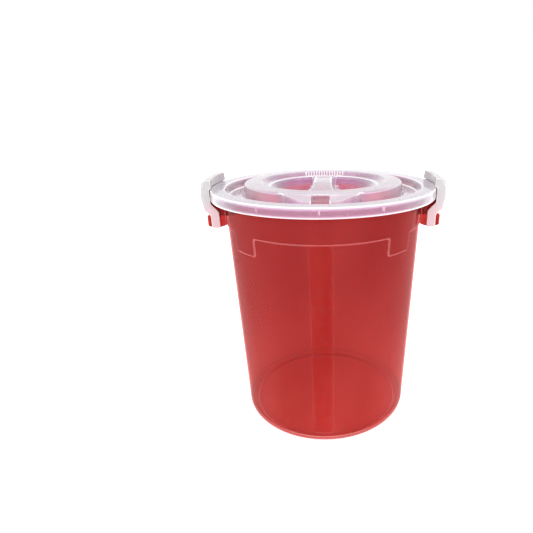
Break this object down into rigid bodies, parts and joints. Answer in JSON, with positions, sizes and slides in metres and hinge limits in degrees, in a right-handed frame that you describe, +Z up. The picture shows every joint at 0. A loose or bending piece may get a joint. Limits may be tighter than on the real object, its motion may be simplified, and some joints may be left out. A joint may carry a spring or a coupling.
{
  "type": "fermenting bucket",
  "caption": "Round translucent plastic fermenting bucket with a press-in lid, a grip bar in the lid's bowl and side latches that swing down.",
  "frame": {"origin": "on the bucket's axis, at the ground", "axes": "+Z up along the bucket's axis; the latches stand at +X and -X; the front, with the decorated strip, faces -Y"},
  "size_m": [0.3408, 0.3214, 0.3748],
  "materials": {
    "bucket_red": "translucent red, smooth moulded gloss",
    "lid_clear": "milky clear, smooth moulded gloss",
    "latch_clear": "milky clear, smooth moulded gloss",
    "seal_soft": "soft translucent white"
  },
  "bodies": {
    "bucket": {"bucket_body": "bucket_red"},
    "lid": {"lid": "lid_clear", "lid_seal": "seal_soft"},
    "latch_left": {"latch_left": "latch_clear"},
    "latch_right": {"latch_right": "latch_clear"}
  },
  "joints": [
    {"name": "lid_lift", "type": "slide", "parent": "bucket", "child": "lid", "axis": [0, 0, 1], "range_m": [0, 0.04]},
    {"name": "latch_right_turn", "type": "hinge", "parent": "bucket", "child": "latch_right", "pos_m": [0.1515, 0, 0.312], "axis": [0, 1, 0], "range_deg": [0, 165]},
    {"name": "latch_left_turn", "type": "hinge", "parent": "bucket", "child": "latch_left", "pos_m": [-0.1515, 0, 0.312], "axis": [0, -1, 0], "range_deg": [0, 165]}
  ],
  "couplings": [
    {"joint": "latch_right_turn", "follows": "lid_lift", "rad_per_m": 71.9},
    {"joint": "latch_left_turn", "follows": "lid_lift", "rad_per_m": 71.9}
  ]
}
